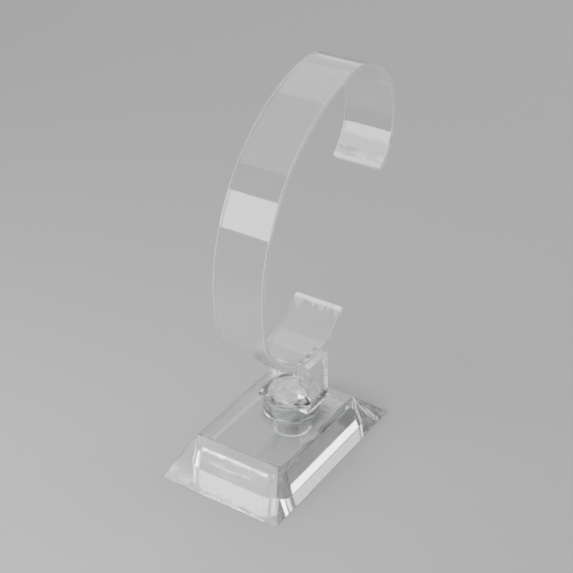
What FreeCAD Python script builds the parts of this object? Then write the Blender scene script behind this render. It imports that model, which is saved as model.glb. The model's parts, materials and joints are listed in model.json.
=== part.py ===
"""Clear plastic watch stand: a C-shaped display ring on a side post, plugged into a hollow base.

Millimetres, +Z up. The origin lies on the floor under the middle of the whole stand. X runs along the
base's long side towards the mouth of the ring, and Y runs across the band.
"""
import FreeCAD, Part
import Sketcher
import math
import os

V = FreeCAD.Vector

SIZES = [
    ("BaseBehind", 15.14, "middle of the base, behind the origin"),
    ("BaseLength", 75.0, "base, long side at the floor"),
    ("BaseWidth", 50.0, "base, short side at the floor"),
    ("BaseHeight", 13.4, "base, floor to top face"),
    ("EndInset", 14.0, "top face set in from the floor edge, each end"),
    ("SideInset", 7.5, "top face set in from the floor edge, each side"),
    ("HipRadius", 0.7, "rounding of the base's sloping corners"),
    ("TopEdgeRadius", 0.4, "rounding of the top face's edges"),
    ("TopWall", 4.3, "thickness of the base's top"),
    ("HollowEndRim", 10.8, "solid rim at the floor, each end"),
    ("HollowSideRim", 6.1, "solid rim at the floor, each side"),
    ("HollowDraft", -2.0, "slope of the hollow's walls, degrees"),
    ("HollowCorner", 4.8, "corner radius of the hollow"),
    ("StemForward", 9.8, "seat and stem, in front of the middle of the base"),
    ("SeatRadius", 10.4, "round seat that stands on the base's top"),
    ("SeatRise", 3.6, "height of the seat above the top face"),
    ("SeatDrop", 4.8, "depth of the seat's wall below the top face"),
    ("SeatWall", 2.4, "wall between the seat's outside and its bore"),
    ("BoreDepth", 6.9, "depth of the bore from the seat's rim"),
    ("SeatBevel", 0.3, "bevel of the seat's lower edge"),
    ("BossRadius", 6.7, "hollow boss under the seat"),
    ("BossWall", 1.8, "wall of the boss"),
    ("BossRoof", 1.6, "closed end of the boss, under the bore"),
    ("BossClearance", 1.9, "gap between the boss and the floor"),
    ("BandWidth", 20.0, "width of the ring's band"),
    ("BandThickness", 1.8, "thickness of the band"),
    ("HookRadius", 25.8, "outer radius of the ring's upper hook"),
    ("BackRadius", 67.7, "outer radius of the ring's long back"),
    ("CradleRadius", 28.0, "outer radius of the ring's lower cradle"),
    ("HookSpan", 151.5, "turn of the hook, degrees"),
    ("BackSpan", 87.4, "turn of the back, degrees"),
    ("CradleRiseSpan", 82.7, "turn of the cradle from its lowest point to the back"),
    ("CradleLipSpan", 50.5, "turn of the cradle from its lowest point to its free end"),
    ("TipRadius", 0.7, "rounding of the band's four tip corners"),
    ("RingGap", 16.1, "clear height from the foot plate to the ring"),
    ("PostLength", 11.6, "post, along the base"),
    ("PostThickness", 5.3, "post, across the band"),
    ("PostOverhang", 2.6, "post stands out past the band's near edge"),
    ("WeldDepth", 0.9, "post runs into the band's underside, where they are moulded as one"),
    ("PlateLength", 15.0, "foot plate, along the base"),
    ("PlateThickness", 2.0, "foot plate"),
    ("PlateFarReach", 9.2, "foot plate, from the stem's middle to its free edge"),
    ("PlateCorner", 0.8, "corner radius of the foot plate"),
    ("PegLength", 5.8, "peg under the foot plate"),
    ("PegWall", 1.8, "wall of the hollow peg"),
    ("FitClearance", 0.1, "gap round the peg in its bore"),
]

BASE = "-Sizes.BaseBehind"
STEM = "(Sizes.StemForward - Sizes.BaseBehind)"

doc = FreeCAD.newDocument("watch_stand")
sheet = doc.addObject("Spreadsheet::Sheet", "Sizes")
for row, (name, value, note) in enumerate(SIZES, start=1):
    sheet.set(f"A{row}", name)
    sheet.set(f"B{row}", str(value))
    sheet.set(f"C{row}", note)
    sheet.setAlias(f"B{row}", name)
doc.recompute()


def size(name):
    """The value of one cell of the sheet."""
    return float(sheet.get(name))


def origin_plane(body, role):
    """One of a body's own origin planes, by its role."""
    for feature in body.Origin.OriginFeatures:
        if feature.Role == role:
            return feature
    raise ValueError(role)


def new_body(label):
    body = doc.addObject("PartDesign::Body", label)
    body.Label = label
    body.Placement = FreeCAD.Placement()
    return body


def new_sketch(body, name, role, height=None):
    """A sketch on an origin plane, raised along the plane's normal by an expression."""
    sketch = body.newObject("Sketcher::SketchObject", name)
    sketch.AttachmentSupport = [(origin_plane(body, role), "")]
    sketch.MapMode = "FlatFace"
    if height:
        sketch.setExpression("AttachmentOffset.Base.z", height)
    return sketch


def bind(sketch, constraint, expression):
    """Adds a constraint with a name and ties its value to the sheet."""
    index = sketch.addConstraint(constraint)
    name = f"c{index}"
    sketch.renameConstraint(index, name)
    sketch.setExpression(f"Constraints.{name}", expression)


def draw_polygon(sketch, points):
    """A closed outline through points, each a pair of expressions measured from the sketch's origin."""
    count = len(points)
    guesses = [V(9 * math.cos(6.28 * k / count), 9 * math.sin(6.28 * k / count), 0) for k in range(count)]
    first = sketch.GeometryCount
    for k in range(count):
        sketch.addGeometry(Part.LineSegment(guesses[k], guesses[(k + 1) % count]), False)
    for k, (along, up) in enumerate(points):
        line = first + k
        sketch.addConstraint(Sketcher.Constraint("Coincident", line, 2, first + (k + 1) % count, 1))
        bind(sketch, Sketcher.Constraint("DistanceX", -1, 1, line, 1, guesses[k].x), along)
        bind(sketch, Sketcher.Constraint("DistanceY", -1, 1, line, 1, guesses[k].y), up)


def draw_rectangle(sketch, left, right, low, high):
    """A rectangle between two places along each axis, each an expression."""
    draw_polygon(sketch, [(left, low), (right, low), (right, high), (left, high)])


def draw_circle(sketch, centre_x, radius):
    """A circle on the sketch's X axis."""
    sketch.addGeometry(Part.Circle(V(9, 0, 0), V(0, 0, 1), 3), False)
    sketch.addConstraint(Sketcher.Constraint("PointOnObject", 0, 3, -1))
    bind(sketch, Sketcher.Constraint("DistanceX", -1, 1, 0, 3, 9.0), centre_x)
    bind(sketch, Sketcher.Constraint("Radius", 0, 3.0), radius)


def draw_arc(sketch, centre, radius, start, end):
    """An arc that turns left from start to end, in degrees, before it is constrained."""
    circle = Part.Circle(centre, V(0, 0, 1), radius)
    return sketch.addGeometry(Part.ArcOfCircle(circle, math.radians(start), math.radians(end)), False)


def pad(body, sketch, name, length, midplane=False, down=False):
    feature = body.newObject("PartDesign::Pad", name)
    feature.Profile = sketch
    feature.Midplane = midplane
    feature.Reversed = down
    feature.setExpression("Length", length)
    sketch.Visibility = False
    return feature


def pocket(body, sketch, name, length, up=False, midplane=False):
    """Cuts along the sketch's normal when up, and against it otherwise."""
    feature = body.newObject("PartDesign::Pocket", name)
    feature.Profile = sketch
    feature.Midplane = midplane
    feature.Reversed = up
    feature.setExpression("Length", length)
    return feature


def round_edges(body, name, edges_wanted, amount, kind="Fillet"):
    """Fillets or chamfers those edges of the body's last feature that edges_wanted picks."""
    doc.recompute()
    base = body.Tip
    picked = [f"Edge{k}" for k, edge in enumerate(base.Shape.Edges, start=1) if edges_wanted(edge)]
    if not picked:
        raise ValueError(f"{name}: no edge found")
    feature = body.newObject("PartDesign::" + kind, name)
    feature.Base = (base, picked)
    feature.setExpression("Radius" if kind == "Fillet" else "Size", amount)
    return feature


def ends_of(edge):
    return [vertex.Point for vertex in edge.Vertexes]


def is_straight(edge):
    points = ends_of(edge)
    return len(points) == 2 and abs(edge.Length - points[0].distanceToPoint(points[1])) < 0.001


def build_base():
    """The hollow base: a bevelled block, open underneath, with the round seat for the ring."""
    body = new_body("base")
    half_width = "Sizes.BaseWidth / 2"

    top = "Sizes.BaseHeight"
    back, front = BASE + " - Sizes.BaseLength / 2", BASE + " + Sizes.BaseLength / 2"
    side_shoulder = "(Sizes.BaseWidth / 2 - Sizes.SideInset)"

    side_view = new_sketch(body, "side_view", "XZ_Plane")
    draw_polygon(side_view, [
        (back, "0"), (front, "0"), (front + " - Sizes.EndInset", top), (back + " + Sizes.EndInset", top)])
    pad(body, side_view, "block", "Sizes.BaseWidth", midplane=True)

    end_view = new_sketch(body, "end_view", "YZ_Plane")
    for side in ("", "-"):
        draw_polygon(end_view, [
            (side + half_width, "0"), (side + half_width, top), (side + side_shoulder, top)])
    pocket(body, end_view, "side_slopes", "2 * (Sizes.BaseLength / 2 + Sizes.BaseBehind)", midplane=True)

    def on_hip(edge):
        heights = sorted(point.z for point in ends_of(edge))
        return is_straight(edge) and heights[1] - heights[0] > 0.01

    round_edges(body, "round_hips", on_hip, "Sizes.HipRadius")

    def on_top_rim(edge):
        return all(abs(point.z - size("BaseHeight")) < 0.01 for point in ends_of(edge))

    round_edges(body, "round_top", on_top_rim, "Sizes.TopEdgeRadius")

    mouth = new_sketch(body, "hollow_mouth", "XY_Plane")
    mouth_side = "(Sizes.BaseWidth / 2 - Sizes.HollowSideRim)"
    draw_rectangle(mouth, back + " + Sizes.HollowEndRim", front + " - Sizes.HollowEndRim",
                   "-" + mouth_side, mouth_side)
    hollow = pocket(body, mouth, "hollow", "Sizes.BaseHeight - Sizes.TopWall", up=True)
    hollow.setExpression("TaperAngle", "Sizes.HollowDraft * 1 deg")

    def in_hollow_corner(edge):
        heights = sorted(point.z for point in ends_of(edge))
        inside = all(abs(p.y) < size("BaseWidth") / 2 - size("HollowSideRim") + 0.01 for p in ends_of(edge))
        return is_straight(edge) and inside and heights[0] < 0.01 and heights[1] > 0.01

    round_edges(body, "round_hollow", in_hollow_corner, "Sizes.HollowCorner")

    seat = new_sketch(body, "seat_outline", "XY_Plane", "Sizes.BaseHeight - Sizes.SeatDrop")
    draw_circle(seat, STEM, "Sizes.SeatRadius")
    pad(body, seat, "seat", "Sizes.SeatDrop + Sizes.SeatRise")

    def seat_underside(edge):
        at_height = abs(edge.CenterOfMass.z - (size("BaseHeight") - size("SeatDrop"))) < 0.01
        return at_height and isinstance(edge.Curve, Part.Circle)

    round_edges(body, "bevel_seat", seat_underside, "Sizes.SeatBevel", kind="Chamfer")

    boss = new_sketch(body, "boss_outline", "XY_Plane", "Sizes.BossClearance")
    draw_circle(boss, STEM, "Sizes.BossRadius")
    pad(body, boss, "boss", "Sizes.BaseHeight - Sizes.SeatDrop - Sizes.BossClearance")

    bore = new_sketch(body, "bore_outline", "XY_Plane", "Sizes.BaseHeight + Sizes.SeatRise")
    draw_circle(bore, STEM, "Sizes.SeatRadius - Sizes.SeatWall")
    pocket(body, bore, "bore", "Sizes.BoreDepth")

    core = new_sketch(body, "boss_core", "XY_Plane", "Sizes.BossClearance")
    draw_circle(core, STEM, "Sizes.BossRadius - Sizes.BossWall")
    core_depth = "Sizes.BaseHeight + Sizes.SeatRise - Sizes.BoreDepth - Sizes.BossRoof - Sizes.BossClearance"
    pocket(body, core, "boss_hollow", core_depth, up=True)
    return body


def build_ring():
    """The display ring with its side post, foot plate and hollow peg, moulded as one."""
    body = new_body("display_ring")
    seat_top = "Sizes.BaseHeight + Sizes.SeatRise"
    plate_top = seat_top + " + Sizes.PlateThickness"
    ring_bottom = plate_top + " + Sizes.RingGap"
    centre_height = ring_bottom + " + Sizes.CradleRadius"

    section = new_sketch(body, "band_section", "YZ_Plane", STEM)
    half_band = "Sizes.BandWidth / 2"
    draw_rectangle(section, "-" + half_band, half_band, ring_bottom, ring_bottom + " + Sizes.BandThickness")

    levels = ("BaseHeight", "SeatRise", "PlateThickness", "RingGap", "CradleRadius")
    cradle = V(size("StemForward") - size("BaseBehind"), sum(size(name) for name in levels), 0)
    down = 270
    path = new_sketch(body, "band_path", "XZ_Plane")
    spans = ("CradleRiseSpan", "BackSpan", "HookSpan")
    radii = ("CradleRadius", "BackRadius", "HookRadius")
    centre, end = cradle, down
    for k in range(3):
        start = end - size(spans[k])
        draw_arc(path, centre, size(radii[k]), start, end)
        if k < 2:
            turn = math.radians(start)
            step = size(radii[k]) - size(radii[k + 1])
            centre = centre + V(math.cos(turn), math.sin(turn), 0) * step
        end = start
    for k in (0, 1):
        path.addConstraint(Sketcher.Constraint("Tangent", k, 1, k + 1, 2))
    place_cradle(path, centre_height)
    path.addConstraint(Sketcher.Constraint("Vertical", 0, 3, 0, 2))
    for k in range(3):
        if k:
            bind(path, Sketcher.Constraint("Radius", k, size(radii[k])), "Sizes." + radii[k])
        bind_span(path, k, spans[k])

    lip_path = new_sketch(body, "lip_path", "XZ_Plane")
    draw_arc(lip_path, cradle, size("CradleRadius"), down, down + size("CradleLipSpan"))
    place_cradle(lip_path, centre_height)
    lip_path.addConstraint(Sketcher.Constraint("Vertical", 0, 3, 0, 1))
    bind_span(lip_path, 0, "CradleLipSpan")

    for name, spine in (("band", path), ("lip", lip_path)):
        sweep = body.newObject("PartDesign::AdditivePipe", name)
        sweep.Profile = section
        sweep.Spine = (spine, [])
        doc.recompute()

    def at_a_tip(edge):
        across = is_straight(edge) and abs(edge.Length - size("BandThickness")) < 0.01
        return across and all(abs(abs(point.y) - size("BandWidth") / 2) < 0.01 for point in ends_of(edge))

    round_edges(body, "round_tips", at_a_tip, "Sizes.TipRadius")
    near_face = "-(Sizes.BandWidth / 2 + Sizes.PostOverhang)"

    post = new_sketch(body, "post_outline", "XY_Plane", plate_top)
    draw_rectangle(post, STEM + " - Sizes.PostLength / 2", STEM + " + Sizes.PostLength / 2",
                   near_face, near_face + " + Sizes.PostThickness")
    pad(body, post, "post", "Sizes.RingGap + Sizes.WeldDepth")

    plate = new_sketch(body, "plate_outline", "XY_Plane", seat_top)
    draw_rectangle(plate, STEM + " - Sizes.PlateLength / 2", STEM + " + Sizes.PlateLength / 2",
                   near_face, "Sizes.PlateFarReach")
    pad(body, plate, "foot_plate", "Sizes.PlateThickness")

    def plate_upright(edge):
        if not is_straight(edge) or abs(edge.Length - size("PlateThickness")) > 0.01:
            return False
        heights = sorted(point.z for point in ends_of(edge))
        at_foot = abs(heights[0] - size("BaseHeight") - size("SeatRise")) < 0.01
        return at_foot and heights[1] - heights[0] > 0.1

    round_edges(body, "round_plate", plate_upright, "Sizes.PlateCorner")

    peg = new_sketch(body, "peg_outline", "XY_Plane", seat_top)
    draw_circle(peg, STEM, "Sizes.SeatRadius - Sizes.SeatWall - Sizes.FitClearance")
    pad(body, peg, "peg", "Sizes.PegLength", down=True)
    core = new_sketch(body, "peg_core", "XY_Plane", seat_top + " - Sizes.PegLength")
    draw_circle(core, STEM, "Sizes.SeatRadius - Sizes.SeatWall - Sizes.FitClearance - Sizes.PegWall")
    pocket(body, core, "peg_hollow", "Sizes.PegLength", up=True)
    return body


def bind_span(sketch, arc, name):
    """Ties the turn of an arc to a size in degrees."""
    bind(sketch, Sketcher.Constraint("Angle", arc, math.radians(size(name))), f"Sizes.{name} * 1 deg")


def place_cradle(sketch, centre_height):
    """Puts the cradle's arc, the sketch's first, over the stem at its radius."""
    bind(sketch, Sketcher.Constraint("DistanceX", -1, 1, 0, 3, 9.0), STEM)
    bind(sketch, Sketcher.Constraint("DistanceY", -1, 1, 0, 3, 60.0), centre_height)
    bind(sketch, Sketcher.Constraint("Radius", 0, 28.0), "Sizes.CradleRadius")


def check_document():
    """Stops if any feature failed or is stale."""
    for item in doc.Objects:
        for state in ("Invalid", "Error", "Touched"):
            if state in item.State:
                raise RuntimeError(f"{item.Name}: {item.State}")


def main():
    bodies = [build_base(), build_ring()]
    doc.recompute()
    check_document()
    for body in bodies:
        shape = body.Shape
        if shape.isNull() or not shape.isValid() or len(shape.Solids) != 1:
            raise RuntimeError(f"{body.Label}: bad shape")
    os.makedirs("parts", exist_ok=True)
    for body in bodies:
        body.Shape.exportStep(f"parts/{body.Label}.step")
        box = body.Shape.BoundBox
        print(body.Label, "volume", round(body.Shape.Volume, 1), "box", box)


main()
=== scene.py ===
"""A clear plastic watch stand, dressed for a studio picture.

The packed solids are the frame. Each of the two mouldings is modelled again with its small roundings,
gets a polished clear finish with handling marks, the ring also a painted highlight at its hook's end,
and stands on a pale floor under soft lights. The hollow under the base is read more closely from the photo
than the packed solid's: its roof is thinner, its walls lean more, and its boss is wider and reaches lower.
"""
import json
import math
from functools import partial
from typing import NamedTuple

import bmesh
import bpy
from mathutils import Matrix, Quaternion, Vector

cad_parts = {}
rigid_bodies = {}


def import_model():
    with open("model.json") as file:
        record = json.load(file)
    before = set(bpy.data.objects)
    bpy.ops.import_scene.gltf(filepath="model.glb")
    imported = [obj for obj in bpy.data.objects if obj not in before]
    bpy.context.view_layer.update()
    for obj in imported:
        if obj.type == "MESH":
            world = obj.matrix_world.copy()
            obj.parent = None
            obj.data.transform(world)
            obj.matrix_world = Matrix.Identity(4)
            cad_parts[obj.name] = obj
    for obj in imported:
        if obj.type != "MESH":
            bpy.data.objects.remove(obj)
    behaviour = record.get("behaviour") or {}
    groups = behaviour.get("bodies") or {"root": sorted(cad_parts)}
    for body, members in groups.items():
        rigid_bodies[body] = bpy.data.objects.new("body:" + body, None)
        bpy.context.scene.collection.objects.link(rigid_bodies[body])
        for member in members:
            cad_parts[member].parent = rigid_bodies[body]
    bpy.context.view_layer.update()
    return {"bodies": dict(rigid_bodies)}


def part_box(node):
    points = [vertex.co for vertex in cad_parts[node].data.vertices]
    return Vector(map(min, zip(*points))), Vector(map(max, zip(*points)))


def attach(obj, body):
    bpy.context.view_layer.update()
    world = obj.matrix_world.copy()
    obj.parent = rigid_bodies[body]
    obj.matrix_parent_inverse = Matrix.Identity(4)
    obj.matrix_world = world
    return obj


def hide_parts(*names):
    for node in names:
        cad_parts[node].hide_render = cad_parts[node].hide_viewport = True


bl_info = {
    "name": "Clear Watch Stand",
    "version": (1, 0, 0),
    "blender": (4, 5, 0),
    "location": "3D View > Sidebar > Watch Stand",
    "description": "Models a clear plastic watch display stand and its studio",
    "category": "Object",
}

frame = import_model()
BASE_LOW, BASE_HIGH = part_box("base")
RING_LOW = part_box("display_ring")[0]
BODY = next(iter(frame["bodies"]))
BASE_MIDDLE_X = (BASE_LOW.x + BASE_HIGH.x) / 2

MM = 0.001
OVERCUT = 1.0 * MM
MERGE_GAP = 0.001 * MM
STRAY_GAP = 0.004 * MM
NEARLY_FLAT = math.radians(0.05)
SMOOTH_BELOW = math.radians(30)
SHARP_ABOVE = math.radians(32)

# Wear, and the painted highlight at the hook's end, as distances from a tip, an edge or the floor over which
# each fades

CUT_END = (1.6 * MM, 2.2 * MM)
SCUFFED_END = (7.4 * MM, 10.2 * MM)
SCUFF_FUZZ = 12.0 * MM
# Painted highlight at the hook's end: a milky patch that stands in for the key light's reflection, fading
# over this range; rubbed smears inside it add roughness
HOOK_HIGHLIGHT_AND_RUB = (8.5 * MM, 11.5 * MM)
SMEARED_HOOK = (3.5 * MM, 7.0 * MM)
CUT_EDGE = (0.30 * MM, 0.12 * MM)
BAND_FOOT = 1.0 * MM
BORDER_INSET = (6.5 * MM, 4.5 * MM)
BORDER_HEIGHT = (2.4 * MM, 4.6 * MM)

# Roughness and relief that each kind of mark adds

SMUDGE_ROUGHNESS = 0.35
CUT_ROUGHNESS = 0.2
BORDER_ROUGHNESS = 0.06
SCRATCH_ROUGHNESS = 0.05
SPECK_ROUGHNESS = 0.5
RUBBED_STRENGTH = 0.5
MILK_ROUGHNESS = 0.45
FLOW_RELIEF = 0.5
BORDER_RELIEF = 0.8
RIPPLE_DEPTH = 0.06 * MM
DUST_COLOUR = (0.9, 0.9, 0.88, 1.0)

# Stage

AIM = Vector((-5.0 * MM, 0.0, 63.1 * MM))
FLOOR_SIZE = 8.0
FLOOR_DROP = 0.1 * MM
FLOOR_GRAIN = 1.03
BOUNCES = {"max_bounces": 32, "glossy_bounces": 24, "transmission_bounces": 32}


class Softbox(NamedTuple):
    """A rectangular light: its place seen from the aim, its slope in degrees and its size."""

    name: str
    place: tuple
    slope: float
    width: float
    depth: float


SOFTBOXES = (
    Softbox("key", place=(-0.215, 0.123, 0.123), slope=150.9, width=0.101, depth=0.5),
    Softbox("back", place=(0.906, 0.70, 0.787), slope=41.0, width=1.70, depth=1.6),
    Softbox("side", place=(0.62, -0.55, 0.48), slope=38.0, width=0.40, depth=0.7),
    Softbox("top", place=(0.66, 0.66, 3.0), slope=90.0, width=5.85, depth=3.75),
)


def length(name, description, default):
    """A length in metres, shown in the scene's own unit."""
    return bpy.props.FloatProperty(
        name=name, description=description, default=default, min=0.0, precision=5, unit="LENGTH")


def turn(name, description, degrees):
    """An angle, given here in degrees."""
    return bpy.props.FloatProperty(
        name=name, description=description, default=math.radians(degrees), subtype="ANGLE")


def share(name, description, default):
    return bpy.props.FloatProperty(name=name, description=description, default=default, min=0.0, max=1.0)


def tint(name, description, default):
    return bpy.props.FloatVectorProperty(
        name=name, description=description, default=default, size=3, min=0.0, max=1.0, subtype="COLOR")


def power(name, description, default):
    return bpy.props.FloatProperty(name=name, description=description, default=default, min=0.0, unit="POWER")


class BaseSizes(bpy.types.PropertyGroup):
    """Sizes of the bevelled, hollow base."""

    height: length("Height", "Floor to the top face", 13.4 * MM)
    end_inset: length("End inset", "Top face set in from the floor edge, each end", 14.0 * MM)
    side_inset: length("Side inset", "Top face set in from the floor edge, each side", 7.5 * MM)
    hip_round: length("Hip rounding", "Rounding of the sloping corners", 0.7 * MM)
    top_round: length("Top rounding", "Rounding of the top face's edges", 0.4 * MM)
    foot_round: length("Foot rounding", "Rounding of the outer edge on the floor", 0.2 * MM)
    top_wall: length("Top wall", "Thickness of the top", 2.8 * MM)
    end_rim: length("End rim", "Solid rim at the floor, each end", 10.8 * MM)
    side_rim: length("Side rim", "Solid rim at the floor, each side", 5.7 * MM)
    draft: turn("Draft", "Slope of the hollow's walls", 4.5)
    hollow_corner: length("Hollow corner", "Corner radius of the hollow", 4.8 * MM)
    ceiling_round: length("Ceiling rounding", "Rounding where the hollow's walls meet its ceiling", 0.4 * MM)
    rim_round: length("Rim rounding", "Rounding of the hollow's edge on the floor", 0.28 * MM)
    edge_round: length("Edge rounding", "Rounding of the edges that are still sharp", 0.12 * MM)


class SeatSizes(bpy.types.PropertyGroup):
    """Sizes of the round seat on the base and of the boss below it."""

    forward: length("Forward", "Axis of the seat, in front of the middle of the base", 9.8 * MM)
    radius: length("Radius", "Outside of the seat", 10.4 * MM)
    drop: length("Drop", "Depth of the seat's wall below the top face", 4.8 * MM)
    wall: length("Wall", "Wall between the seat's outside and its bore", 2.4 * MM)
    bore_depth: length("Bore depth", "Depth of the bore from the rim", 6.9 * MM)
    bevel: length("Bevel", "Bevel of the seat's lower edge", 0.3 * MM)
    boss_radius: length("Boss radius", "Hollow boss under the seat", 7.4 * MM)
    boss_wall: length("Boss wall", "Wall of the boss", 1.8 * MM)
    boss_roof: length("Boss roof", "Closed end of the boss, under the bore", 1.6 * MM)
    boss_clearance: length("Boss clearance", "Gap between the boss and the floor", 0.4 * MM)
    edge_round: length("Edge rounding", "Rounding of the seat's rim and the boss's edge", 0.3 * MM)


class RingSizes(bpy.types.PropertyGroup):
    """Sizes of the display ring with its post, foot plate and peg."""

    width: length("Width", "Width of the band", 20.0 * MM)
    thickness: length("Thickness", "Thickness of the band", 1.8 * MM)
    hook_radius: length("Hook radius", "Outer radius of the upper hook", 25.8 * MM)
    back_radius: length("Back radius", "Outer radius of the long back", 67.7 * MM)
    cradle_radius: length("Cradle radius", "Outer radius of the lower cradle", 28.0 * MM)
    hook_span: turn("Hook span", "Turn of the hook", 151.5)
    back_span: turn("Back span", "Turn of the back", 87.4)
    rise_span: turn("Rise span", "Turn of the cradle from its lowest point to the back", 82.7)
    lip_span: turn("Lip span", "Turn of the cradle from its lowest point to its free end", 50.5)
    tip_round: length("Tip rounding", "Rounding of the band's tip corners", 0.7 * MM)
    edge_round: length("Edge rounding", "Rounding of the moulding's edges", 0.22 * MM)
    gap: length("Gap", "Clear height from the foot plate to the band", 16.1 * MM)
    post_length: length("Post length", "Post, along the base", 11.6 * MM)
    post_thickness: length("Post thickness", "Post, across the band", 5.3 * MM)
    post_overhang: length("Post overhang", "Post stands out past the band's near edge", 2.6 * MM)
    weld: length("Weld", "Post runs into the band's underside", 0.9 * MM)
    plate_length: length("Plate length", "Foot plate, along the base", 15.0 * MM)
    plate_thickness: length("Plate thickness", "Foot plate", 2.0 * MM)
    plate_reach: length("Plate reach", "Foot plate, from the stem's middle to its free edge", 9.2 * MM)
    plate_corner: length("Plate corner", "Corner radius of the foot plate", 0.8 * MM)
    peg_wall: length("Peg wall", "Wall of the hollow peg", 1.8 * MM)
    clearance: length("Clearance", "Gap round the peg in its bore", 0.1 * MM)


class Finish(bpy.types.PropertyGroup):
    """The clear plastic's look."""

    plastic: tint("Plastic", "Colour of the clear plastic", (0.965, 0.972, 0.98))
    gloss: share("Gloss roughness", "Roughness of the clean moulded skin", 0.025)
    haze: share("Haze roughness", "Roughness of rubbed patches", 0.11)
    index: bpy.props.FloatProperty(
        name="Refraction", description="Index of refraction of the plastic", default=1.57, min=1.0, max=2.0)
    clarity: share("Clarity", "Share of light that passes through", 0.97)
    # Also the colour of the painted highlight at the hook's end
    milk: tint("Milk", "Colour of milky, scuffed skin", (0.90, 0.91, 0.92))
    edge_milk: share("Milky edges", "How milky the cut edges of the band are", 0.50)
    scuff_milk: share("Milky scuffs", "How milky the scuffs are", 0.48)
    # Painted highlight: a milky patch on the inside of the hook's end, standing in for the key light's
    # reflection
    hook_milk: share("Milky hook end", "How milky the rubbed inside of the hook's end is", 0.58)
    flow_milk: share("Milky flow marks", "How milky the flow marks of the thick mouldings are", 0.40)


class Studio(bpy.types.PropertyGroup):
    """Floor, light and camera."""

    floor_colour: tint("Floor", "Pale floor", (0.33, 0.33, 0.326))
    surround: tint("Surround", "Dim light of the room", (0.32, 0.325, 0.33))
    key_power: power("Key", "Long soft box close on the left of the camera", 1.4)
    back_power: power("Back", "Wide dim soft box behind the stand", 8.0)
    side_power: power("Side", "Soft box on the right of the camera", 4.0)
    top_power: power("Top", "Wide dim soft box overhead", 74.0)
    azimuth: turn("Azimuth", "Direction the camera looks in, turned from +Y towards +X", 54.40)
    elevation: turn("Elevation", "Height of the camera above the horizon", 33.085)
    roll: turn("Roll", "Roll of the camera about its own axis", -2.63)
    distance: length("Distance", "Camera to the point it aims at", 0.48695)
    lens: bpy.props.FloatProperty(name="Lens", description="Focal length in millimetres", default=87.8)


GROUPS = {
    "stand_base": BaseSizes,
    "stand_seat": SeatSizes,
    "stand_ring": RingSizes,
    "stand_finish": Finish,
    "stand_studio": Studio,
}


def deselect_all():
    if bpy.context.mode != "OBJECT":
        bpy.ops.object.mode_set(mode="OBJECT")
    bpy.ops.object.select_all(action="DESELECT")


def activate(piece):
    deselect_all()
    piece.select_set(True)
    bpy.context.view_layer.objects.active = piece


def add_box(name, low, high):
    """A box between two corners, with its place in its mesh."""
    deselect_all()
    low, high = Vector(low), Vector(high)
    bpy.ops.mesh.primitive_cube_add(size=1.0, location=(low + high) / 2, scale=high - low)
    piece = bpy.context.object
    piece.name = name
    bpy.ops.object.transform_apply(location=True, rotation=True, scale=True)
    return piece


def add_drum(name, centre, radius, low, high, sides=128):
    """An upright cylinder between two heights."""
    deselect_all()
    place = (centre.x, centre.y, (low + high) / 2)
    bpy.ops.mesh.primitive_cylinder_add(vertices=sides, radius=radius, depth=high - low, location=place)
    piece = bpy.context.object
    piece.name = name
    bpy.ops.object.transform_apply(location=True, rotation=True, scale=True)
    return piece


def pick_faces(piece, wanted):
    """Selects, in edit mode, the faces whose centre and normal pass the test."""
    bpy.ops.mesh.select_mode(type="FACE")
    mesh = bmesh.from_edit_mesh(piece.data)
    for face in mesh.faces:
        face.select_set(wanted(face.calc_center_median(), face.normal))
    bmesh.update_edit_mesh(piece.data)


def pick_edges(piece, wanted):
    """Selects, in edit mode, the edges whose two ends pass the test."""
    bpy.ops.mesh.select_mode(type="EDGE")
    mesh = bmesh.from_edit_mesh(piece.data)
    for edge in mesh.edges:
        edge.select_set(False)
    for edge in mesh.edges:
        if wanted(edge.verts[0].co, edge.verts[1].co):
            edge.select_set(True)
    bmesh.update_edit_mesh(piece.data)


def near(a, b, slack=0.02 * MM):
    return abs(a - b) < slack


def rising(a, b):
    """Whether an edge's ends differ in height."""
    return not near(a.z, b.z)


def level_at(height):
    """The test for edges that lie at one height."""
    return lambda a, b: near(a.z, height) and near(b.z, height)


def draw_in_top(piece, low, high, end_inset, side_inset):
    """Shrinks, in edit mode, a box's top face by an inset at each end and at each side."""
    pick_faces(piece, lambda centre, normal: normal.z > 0.5)
    drawn_in = (1 - 2 * end_inset / (high.x - low.x), 1 - 2 * side_inset / (high.y - low.y), 1.0)
    middle = (low + high) / 2
    bpy.ops.transform.resize(value=drawn_in, center_override=(middle.x, middle.y, high.z))


def close_shell():
    """Merges, in edit mode, the doubled points of a spun shell and turns its faces outwards."""
    bpy.ops.mesh.select_all(action="SELECT")
    bpy.ops.mesh.remove_doubles(threshold=MERGE_GAP)
    bpy.ops.mesh.normals_make_consistent(inside=False)
    bpy.ops.object.mode_set(mode="OBJECT")


def round_edges(piece, wanted, radius, segments):
    """Rounds the picked edges with the bevel tool."""
    activate(piece)
    bpy.ops.object.mode_set(mode="EDIT")
    pick_edges(piece, wanted)
    bpy.ops.mesh.bevel(offset=radius, segments=segments, profile=0.5, affect="EDGES", clamp_overlap=True)
    bpy.ops.object.mode_set(mode="OBJECT")


def combine(piece, tool, operation):
    """Joins a second solid to the piece, or cuts it out, and deletes it."""
    activate(piece)
    step = piece.modifiers.new("combine", "BOOLEAN")
    step.operation = operation
    step.solver = "EXACT"
    step.object = tool
    bpy.ops.object.modifier_apply(modifier=step.name)
    bpy.data.objects.remove(tool)


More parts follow.
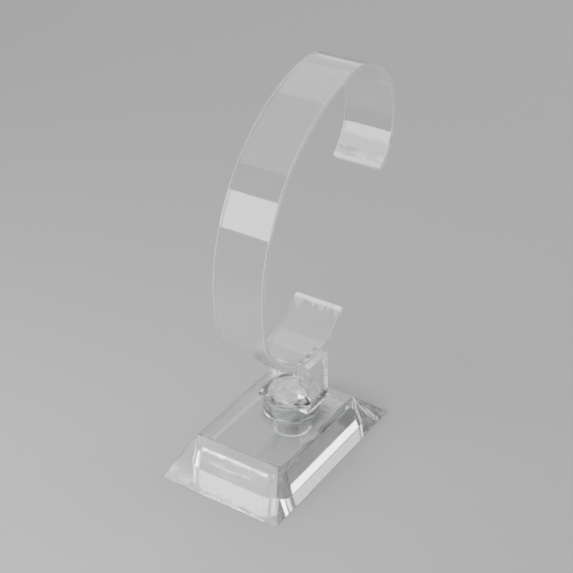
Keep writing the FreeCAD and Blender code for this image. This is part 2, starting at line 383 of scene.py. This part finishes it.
def soften(piece, radius):
    """A small rounding on every sharp edge, then smooth shading that keeps flat faces flat."""
    activate(piece)
    bpy.ops.object.mode_set(mode="EDIT")
    bpy.ops.mesh.select_all(action="SELECT")
    bpy.ops.mesh.remove_doubles(threshold=STRAY_GAP)
    bpy.ops.mesh.dissolve_limited(angle_limit=NEARLY_FLAT)
    bpy.ops.object.mode_set(mode="OBJECT")
    step = piece.modifiers.new("soften", "BEVEL")
    step.width = radius
    step.segments = 3
    step.limit_method = "ANGLE"
    step.angle_limit = SHARP_ABOVE
    step.use_clamp_overlap = True
    bpy.ops.object.modifier_apply(modifier=step.name)
    bpy.ops.object.shade_smooth_by_angle(angle=SMOOTH_BELOW)
    step = piece.modifiers.new("flat_faces", "WEIGHTED_NORMAL")
    step.mode = "FACE_AREA"
    step.weight = 100
    step.keep_sharp = True
    bpy.ops.object.modifier_apply(modifier=step.name)


def seat_axis(seat):
    """The point on the floor below the middle of the seat."""
    return Vector((BASE_MIDDLE_X + seat.forward, 0.0, 0.0))


class Socket:
    """A node's output with Python's operators, each of which adds a Math node."""

    def __init__(self, shader, output):
        self.shader = shader
        self.output = output

    def _math(self, operation, first, second):
        return self.shader.node("ShaderNodeMath", {"operation": operation}, {0: first, 1: second})

    def __add__(self, other):
        return self._math("ADD", self, other)

    def __radd__(self, other):
        return self._math("ADD", other, self)

    def __sub__(self, other):
        return self._math("SUBTRACT", self, other)

    def __rsub__(self, other):
        return self._math("SUBTRACT", other, self)

    def __mul__(self, other):
        return self._math("MULTIPLY", self, other)

    def __rmul__(self, other):
        return self._math("MULTIPLY", other, self)

    def __abs__(self):
        return self._math("ABSOLUTE", self, 0.0)


class Shader:
    """One material's node tree."""

    def __init__(self, name):
        self.material = bpy.data.materials.new(name)
        self.material.use_nodes = True
        self.tree = self.material.node_tree
        self.surface = self.tree.nodes["Principled BSDF"]

    def node(self, kind, settings, values, output=0):
        """Adds a node, sets it up, then gives its sockets values or links."""
        made = self.tree.nodes.new(kind)
        for name, value in settings.items():
            setattr(made, name, value)
        for key, value in values.items():
            self.put(made.inputs[key], value)
        return Socket(self, made.outputs[output])

    def put(self, target, value):
        if isinstance(value, Socket):
            self.tree.links.new(value.output, target)
        else:
            target.default_value = value

    def set(self, **values):
        """Sets sockets of the surface; a name's underscores stand for spaces."""
        for name, value in values.items():
            self.put(self.surface.inputs[name.replace("_", " ")], value)

    def place(self):
        return self.node("ShaderNodeTexCoord", {}, {}, "Object")

    def noise(self, place, scale, detail=2.0, rough=0.5, distortion=0.0):
        return self.node("ShaderNodeTexNoise", {}, {
            "Vector": place, "Scale": scale, "Detail": detail, "Roughness": rough, "Distortion": distortion})

    def spots(self, place, scale):
        return self.node(
            "ShaderNodeTexVoronoi", {}, {"Vector": place, "Scale": scale, "Randomness": 1.0}, "Distance")

    def stretch(self, place, scale, rotation=(0.0, 0.0, 0.0)):
        return self.node("ShaderNodeMapping", {}, {"Vector": place, "Scale": scale, "Rotation": rotation})

    def ramp(self, value, low, high):
        """0 below low, 1 above high, and a smooth rise between them."""
        return self.node("ShaderNodeMapRange", {"interpolation_type": "SMOOTHSTEP"}, {
            "Value": value, "From Min": low, "From Max": high, "To Min": 0.0, "To Max": 1.0})

    def fall(self, value, low, high):
        """1 below low, 0 above high, and a smooth fall between them."""
        return 1.0 - self.ramp(value, low, high)

    def blend(self, factor, first, second):
        return self.node("ShaderNodeMix", {"data_type": "RGBA"}, {0: factor, 6: first, 7: second}, 2)

    def split(self, place):
        """The three coordinates of a place, as values."""
        return [self.node("ShaderNodeSeparateXYZ", {}, {"Vector": place}, axis) for axis in "XYZ"]

    def distance_to(self, place, point):
        """Distance from a point, seen along the width of the band."""
        flat = self.stretch(place, (1.0, 0.0, 1.0))
        return self.node("ShaderNodeVectorMath", {"operation": "DISTANCE"}, {0: flat, 1: point}, "Value")

    def milk(self, mask, colour, roughness):
        """Lays a milky skin over the surface, as strong as the mask says."""
        clear = Socket(self, self.surface.outputs[0])
        skin = self.node("ShaderNodeBsdfPrincipled", {}, {"Base Color": colour, "Roughness": roughness})
        mixed = self.node("ShaderNodeMixShader", {}, {0: mask, 1: clear, 2: skin})
        self.put(self.tree.nodes["Material Output"].inputs["Surface"], mixed)

    def bump(self, height, distance, strength):
        return self.node("ShaderNodeBump", {}, {"Height": height, "Distance": distance, "Strength": strength})


def ring_wear_and_highlight(shader, place, finish, tips, half_width, band_low):
    """Milky cut edges, scuffed tips and cloudy flow in the post, and a painted highlight at the hook's end.

    Gives the milk's mask, the roughness that it adds and its relief, as base_wear does.
    """
    _, across, height = shader.split(place)
    band = shader.ramp(height, band_low, band_low + BAND_FOOT)
    edge_low, edge_high = (half_width - inset for inset in CUT_EDGE)
    edges = shader.ramp(abs(across), edge_low, edge_high) * band
    fuzz = shader.noise(shader.stretch(place, (0.5, 2.2, 0.5)), scale=420.0, detail=3.0, rough=0.65)
    cut_ends = 0.0
    scuffs = 0.0
    for tip in tips:
        distance = shader.distance_to(place, tip)
        cut_ends = cut_ends + shader.fall(distance, *CUT_END)
        scuffs = scuffs + shader.fall(distance + fuzz * SCUFF_FUZZ, *SCUFFED_END)
    cloud = shader.noise(place, scale=150.0, detail=3.0, rough=0.6, distortion=1.5)
    flow = shader.ramp(cloud, low=0.42, high=0.72) * (1.0 - band)
    from_hook = shader.distance_to(place, tips[1])
    # Painted highlight: a milky patch near the hook's end in place of the key light's reflection; the same
    # patch bounds the rubbed smears' roughness
    hook_highlight_and_rub = shader.fall(from_hook, *HOOK_HIGHLIGHT_AND_RUB)
    smears = shader.noise(shader.stretch(place, (1.0, 0.3, 1.0)), scale=170.0, detail=3.0, rough=0.6)
    smudges = shader.ramp(smears, low=0.44, high=0.58) * shader.fall(from_hook, *SMEARED_HOOK)
    milk = (edges + cut_ends) * finish.edge_milk + scuffs * finish.scuff_milk + flow * finish.flow_milk
    # The painted highlight is left out where the rubbed smears are
    milk = milk + hook_highlight_and_rub * (1.0 - smudges) * finish.hook_milk
    roughness = smudges * hook_highlight_and_rub * SMUDGE_ROUGHNESS + edges * CUT_ROUGHNESS
    return milk, roughness, flow * FLOW_RELIEF


def base_wear(shader, place, finish):
    """Swirling flow marks along the border of the base's two ends."""
    along, _, height = shader.split(place)
    half_length = (BASE_HIGH.x - BASE_LOW.x) / 2
    border_low, border_high = (half_length - inset for inset in BORDER_INSET)
    ends = shader.ramp(abs(along - BASE_MIDDLE_X), border_low, border_high)
    border = shader.fall(height, *BORDER_HEIGHT) * ends
    swirl = shader.noise(place, scale=120.0, detail=4.0, rough=0.6, distortion=2.4)
    marks = border * shader.ramp(swirl, low=0.40, high=0.72)
    return marks * finish.flow_milk, marks * BORDER_ROUGHNESS, marks * BORDER_RELIEF


def clear_plastic(name, finish, wear_and_highlight):
    """Polished clear plastic: rubbed patches, fine scratches, a little dust and the piece's own marks, on the
    ring with a painted highlight at the hook's end.
    """
    shader = Shader(name)
    place = shader.place()
    patches = shader.noise(place, scale=55.0, detail=3.0, rough=0.6)
    rubbed = shader.ramp(patches, low=0.50, high=0.72)
    lines = shader.stretch(place, (60.0, 900.0, 60.0), rotation=(0.2, 0.4, 0.5))
    scratches = shader.ramp(shader.noise(lines, scale=1.0, detail=2.0), low=0.66, high=0.74)
    dust = shader.fall(shader.spots(place, scale=900.0), low=0.05, high=0.11)
    few = shader.ramp(shader.noise(place, scale=130.0, detail=1.0), low=0.58, high=0.66)
    specks = dust * few
    milk, worn, relief = wear_and_highlight(shader, place, finish)
    roughness = finish.gloss + rubbed * (finish.haze - finish.gloss) * RUBBED_STRENGTH
    roughness = roughness + scratches * SCRATCH_ROUGHNESS + specks * SPECK_ROUGHNESS + worn
    ripple = shader.noise(place, scale=38.0, detail=1.0)
    shader.set(
        Base_Color=shader.blend(specks, (*finish.plastic, 1.0), DUST_COLOUR),
        Roughness=roughness,
        Normal=shader.bump(ripple + relief, RIPPLE_DEPTH, strength=0.5),
        IOR=finish.index,
        Transmission_Weight=finish.clarity)
    shader.milk(milk, (*finish.milk, 1.0), MILK_ROUGHNESS)
    return shader.material


def dress(piece, node, material):
    """Gives a piece its material, its body and the node it stands for."""
    piece.data.materials.clear()
    piece.data.materials.append(material)
    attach(piece, BODY)
    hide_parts(node)


class WATCHSTAND_OT_base(bpy.types.Operator):
    """Model the bevelled, hollow base with its round seat"""

    bl_idname = "watchstand.base"
    bl_label = "Base"

    def execute(self, context):
        sizes = context.scene.stand_base
        seat = context.scene.stand_seat
        piece = self.block(sizes)
        self.hollow(piece, sizes)
        centre = seat_axis(seat)
        drill = add_drum("drill", centre, seat.radius - seat.wall / 2, -OVERCUT, sizes.height + OVERCUT)
        combine(piece, drill, "DIFFERENCE")
        combine(piece, self.turned_seat(centre, sizes, seat), "UNION")
        soften(piece, sizes.edge_round)
        piece.name = "moulded_base"
        finish = context.scene.stand_finish
        dress(piece, "base", clear_plastic("clear_base", finish, base_wear))
        return {"FINISHED"}

    def block(self, sizes):
        """The solid block: a box whose top face is drawn in, with rounded hips and rim."""
        high = Vector((BASE_HIGH.x, BASE_HIGH.y, sizes.height))
        piece = add_box("block", BASE_LOW, high)
        bpy.ops.object.mode_set(mode="EDIT")
        draw_in_top(piece, BASE_LOW, high, sizes.end_inset, sizes.side_inset)
        bpy.ops.object.mode_set(mode="OBJECT")
        round_edges(piece, rising, sizes.hip_round, segments=5)
        round_edges(piece, level_at(sizes.height), sizes.top_round, segments=4)
        round_edges(piece, level_at(0.0), sizes.foot_round, segments=3)
        return piece

    def hollow(self, piece, sizes):
        """Cuts the tapered hollow, with its rounded corners and ceiling, out of the underside."""
        ceiling = sizes.height - sizes.top_wall
        low = Vector((BASE_LOW.x + sizes.end_rim, BASE_LOW.y + sizes.side_rim, sizes.rim_round))
        high = Vector((BASE_HIGH.x - sizes.end_rim, BASE_HIGH.y - sizes.side_rim, ceiling))
        core = add_box("hollow_core", low, high)
        lean = high.z * math.tan(sizes.draft)
        bpy.ops.object.mode_set(mode="EDIT")
        draw_in_top(core, low, high, lean, lean)
        pick_faces(core, lambda centre, normal: normal.z < -0.5)
        self.flare(high - low, (low + high) / 2, sizes.rim_round)
        bpy.ops.object.mode_set(mode="OBJECT")
        round_edges(core, rising, sizes.hollow_corner, segments=10)
        round_edges(core, level_at(high.z), sizes.ceiling_round, segments=5)
        combine(piece, core, "DIFFERENCE")

    def flare(self, size, middle, radius, steps=4):
        """Spreads the core's lower end in a quarter round, then runs it out below the floor."""
        spread = 0.0
        height = radius
        for step in range(1, steps + 1):
            angle = step * math.pi / 2 / steps
            lower = radius * (1 - math.sin(angle))
            wider = radius * (1 - math.cos(angle))
            bpy.ops.mesh.extrude_region_move(TRANSFORM_OT_translate={"value": (0.0, 0.0, lower - height)})
            growth = [(side + 2 * wider) / (side + 2 * spread) for side in size.xy]
            bpy.ops.transform.resize(value=(*growth, 1.0), center_override=(middle.x, middle.y, lower))
            spread, height = wider, lower
        bpy.ops.mesh.extrude_region_move(TRANSFORM_OT_translate={"value": (0.0, 0.0, -OVERCUT)})

    def turned_seat(self, centre, sizes, seat):
        """The seat, its bore, the boss and the boss's hollow, spun from one half section."""
        rim = BASE_HIGH.z
        under = sizes.height - seat.drop
        bore = seat.radius - seat.wall
        bore_floor = rim - seat.bore_depth
        roof = bore_floor - seat.boss_roof
        foot = seat.boss_clearance
        core = seat.boss_radius - seat.boss_wall
        profile = [
            (0.0, bore_floor), (bore, bore_floor), (bore, rim), (seat.radius, rim),
            (seat.radius, under + seat.bevel), (seat.radius - seat.bevel, under),
            (seat.boss_radius, under), (seat.boss_radius, foot), (core, foot), (core, roof), (0.0, roof)]
        piece = spin_section("turned_seat", centre, profile)

        def round_a_lip(a, b):
            """Whether an edge is a stretch of a circle at the seat's rim or the boss's foot."""
            at_lip = near(a.z, b.z) and (near(a.z, rim) or near(a.z, foot))
            return at_lip and near((a.xy - centre.xy).length, (b.xy - centre.xy).length)

        round_edges(piece, round_a_lip, seat.edge_round, segments=4)
        return piece


def spin_section(name, centre, profile, steps=128):
    """Turns a half section, a list of radius and height pairs, into a closed solid of revolution."""
    mesh = bpy.data.meshes.new(name)
    corners = [(centre.x + radius, centre.y, height) for radius, height in profile]
    mesh.from_pydata(corners, [(k, k + 1) for k in range(len(corners) - 1)], [])
    piece = bpy.data.objects.new(name, mesh)
    bpy.context.scene.collection.objects.link(piece)
    activate(piece)
    bpy.ops.object.mode_set(mode="EDIT")
    bpy.ops.mesh.select_all(action="SELECT")
    bpy.ops.mesh.spin(steps=steps, angle=2 * math.pi, center=(centre.x, centre.y, 0.0), axis=(0.0, 0.0, 1.0))
    close_shell()
    return piece


class WATCHSTAND_OT_ring(bpy.types.Operator):
    """Model the display ring with its post, foot plate and peg"""

    bl_idname = "watchstand.ring"
    bl_label = "Display ring"

    cradle_steps = 64
    back_steps = 84
    hook_steps = 72
    tip_reach = 0.55

    def execute(self, context):
        sizes = context.scene.stand_ring
        seat = context.scene.stand_seat
        stem = seat_axis(seat)
        plate_low = BASE_HIGH.z
        plate_top = plate_low + sizes.plate_thickness
        band_low = plate_top + sizes.gap
        near_face = -sizes.width / 2 - sizes.post_overhang
        piece, tips = self.band(stem, band_low, sizes)
        post = add_box(
            "post",
            (stem.x - sizes.post_length / 2, near_face, plate_low + sizes.plate_thickness / 2),
            (stem.x + sizes.post_length / 2, near_face + sizes.post_thickness, band_low + sizes.weld))
        combine(piece, post, "UNION")
        plate = add_box(
            "plate",
            (stem.x - sizes.plate_length / 2, near_face, plate_low),
            (stem.x + sizes.plate_length / 2, sizes.plate_reach, plate_top))
        round_edges(plate, rising, sizes.plate_corner, segments=6)
        combine(piece, plate, "UNION")
        outer = seat.radius - seat.wall - sizes.clearance
        peg = add_drum("peg", stem, outer, RING_LOW.z, plate_low + sizes.plate_thickness / 2)
        combine(piece, peg, "UNION")
        core = add_drum("core", stem, outer - sizes.peg_wall, RING_LOW.z - OVERCUT, plate_low)
        combine(piece, core, "DIFFERENCE")
        soften(piece, sizes.edge_round)
        piece.name = "moulded_ring"
        finish = context.scene.stand_finish
        wear_and_highlight = partial(ring_wear_and_highlight, tips=tips, half_width=sizes.width / 2, band_low=band_low)
        dress(piece, "display_ring", clear_plastic("clear_ring", finish, wear_and_highlight))
        return {"FINISHED"}

    def band(self, stem, band_low, sizes):
        """The C-shaped band, spun about three centres in turn from the end of its lip."""
        down = -math.pi / 2
        first = Vector((stem.x, 0.0, band_low + sizes.cradle_radius))
        to_back = self.direction(down - sizes.rise_span)
        second = first + (sizes.cradle_radius - sizes.back_radius) * to_back
        to_hook = self.direction(down - sizes.rise_span - sizes.back_span)
        third = second + (sizes.back_radius - sizes.hook_radius) * to_hook
        start = down + sizes.lip_span
        middle = first + (sizes.cradle_radius - sizes.thickness / 2) * self.direction(start)
        deselect_all()
        bpy.ops.mesh.primitive_plane_add(size=1.0, location=middle, rotation=(0.0, -start, 0.0))
        piece = bpy.context.object
        piece.scale = (sizes.thickness, sizes.width, 1.0)
        bpy.ops.object.transform_apply(location=True, rotation=True, scale=True)
        bpy.ops.object.mode_set(mode="EDIT")
        bpy.ops.mesh.select_all(action="SELECT")
        arcs = [
            (first, sizes.lip_span + sizes.rise_span, self.cradle_steps),
            (second, sizes.back_span, self.back_steps),
            (third, sizes.hook_span, self.hook_steps)]
        for centre, span, steps in arcs:
            bpy.ops.mesh.spin(steps=steps, angle=span, center=centre, axis=(0.0, -1.0, 0.0))
        close_shell()
        end = third + (sizes.hook_radius - sizes.thickness / 2) * self.direction(
            down - sizes.rise_span - sizes.back_span - sizes.hook_span)
        tips = (middle, end)
        reach = self.tip_reach * sizes.thickness

        def tip_corner(a, b):
            """Whether an edge runs through the thickness at one of the band's two ends."""
            return near(a.y, b.y) and all(self.at_tip(point, tips, reach) for point in (a, b))

        round_edges(piece, tip_corner, sizes.tip_round, segments=5)
        return piece, tips

    def at_tip(self, point, tips, reach):
        """Whether a corner of the band lies on one of its two end faces."""
        flat = Vector((point.x, 0.0, point.z))
        return any((flat - tip).length < reach for tip in tips)

    def direction(self, angle):
        return Vector((math.cos(angle), 0.0, math.sin(angle)))


class WATCHSTAND_OT_stage(bpy.types.Operator):
    """Set the floor, the lights and the camera"""

    bl_idname = "watchstand.stage"
    bl_label = "Stage"

    def execute(self, context):
        studio = context.scene.stand_studio
        self.floor(studio)
        self.surround(context.scene, studio)
        for box in SOFTBOXES:
            self.softbox(box, getattr(studio, f"{box.name}_power"))
        self.camera(context.scene, studio)
        self.light_paths(context.scene.cycles)
        return {"FINISHED"}

    def light_paths(self, paths):
        """Long paths, because light in thick clear plastic is reflected inside it many times."""
        for kind, count in BOUNCES.items():
            setattr(paths, kind, count)

    def floor(self, studio):
        deselect_all()
        bpy.ops.mesh.primitive_plane_add(size=FLOOR_SIZE, location=(0.0, 0.0, -FLOOR_DROP))
        floor = bpy.context.object
        floor.name = "floor"
        shader = Shader("pale_floor")
        grain = shader.noise(shader.place(), scale=300.0, detail=3.0)
        colour = (*studio.floor_colour, 1.0)
        paler = tuple(min(1.0, value * FLOOR_GRAIN) for value in studio.floor_colour) + (1.0,)
        shader.set(Base_Color=shader.blend(grain, colour, paler), Roughness=0.6)
        floor.data.materials.append(shader.material)

    def surround(self, scene, studio):
        world = bpy.data.worlds.new("room")
        world.use_nodes = True
        world.node_tree.nodes["Background"].inputs["Color"].default_value = (*studio.surround, 1.0)
        scene.world = world

    def softbox(self, box, watts):
        """Adds one light, whose depth runs along Y, as the band's width does."""
        data = bpy.data.lights.new(box.name, "AREA")
        data.shape = "RECTANGLE"
        data.size = box.width
        data.size_y = box.depth
        data.energy = watts
        light = bpy.data.objects.new(box.name, data)
        bpy.context.scene.collection.objects.link(light)
        light.location = AIM + Vector(box.place)
        light.rotation_euler = (0.0, math.radians(90.0 - box.slope), 0.0)
        light.visible_camera = False

    def camera(self, scene, studio):
        """The camera, placed by its direction, height and distance."""
        azimuth, elevation = studio.azimuth, studio.elevation
        flat = math.cos(elevation)
        look = Vector((math.sin(azimuth) * flat, math.cos(azimuth) * flat, -math.sin(elevation)))
        data = bpy.data.cameras.new("camera")
        data.lens = studio.lens
        camera = bpy.data.objects.new("camera", data)
        scene.collection.objects.link(camera)
        camera.location = AIM - studio.distance * look
        level = look.to_track_quat("-Z", "Y")
        camera.rotation_euler = (level @ Quaternion((0.0, 0.0, 1.0), studio.roll)).to_euler()
        scene.camera = camera


class WATCHSTAND_PT_panel(bpy.types.Panel):
    """Sizes, finish and studio of the watch stand"""

    bl_label = "Watch Stand"
    bl_idname = "WATCHSTAND_PT_panel"
    bl_space_type = "VIEW_3D"
    bl_region_type = "UI"
    bl_category = "Watch Stand"

    def draw(self, context):
        for operator in OPERATORS:
            self.layout.operator(operator.bl_idname)
        for name, group in GROUPS.items():
            box = self.layout.box()
            box.label(text=group.__doc__.rstrip("."))
            for value in group.__annotations__:
                box.prop(getattr(context.scene, name), value)


OPERATORS = (WATCHSTAND_OT_base, WATCHSTAND_OT_ring, WATCHSTAND_OT_stage)


def register():
    for name, group in GROUPS.items():
        bpy.utils.register_class(group)
        setattr(bpy.types.Scene, name, bpy.props.PointerProperty(type=group))
    for operator in OPERATORS:
        bpy.utils.register_class(operator)
    bpy.utils.register_class(WATCHSTAND_PT_panel)


def unregister():
    bpy.utils.unregister_class(WATCHSTAND_PT_panel)
    for operator in reversed(OPERATORS):
        bpy.utils.unregister_class(operator)
    for name, group in reversed(GROUPS.items()):
        delattr(bpy.types.Scene, name)
        bpy.utils.unregister_class(group)


def main():
    register()
    bpy.ops.watchstand.base()
    bpy.ops.watchstand.ring()
    bpy.ops.watchstand.stage()


if __name__ == "__main__":
    main()
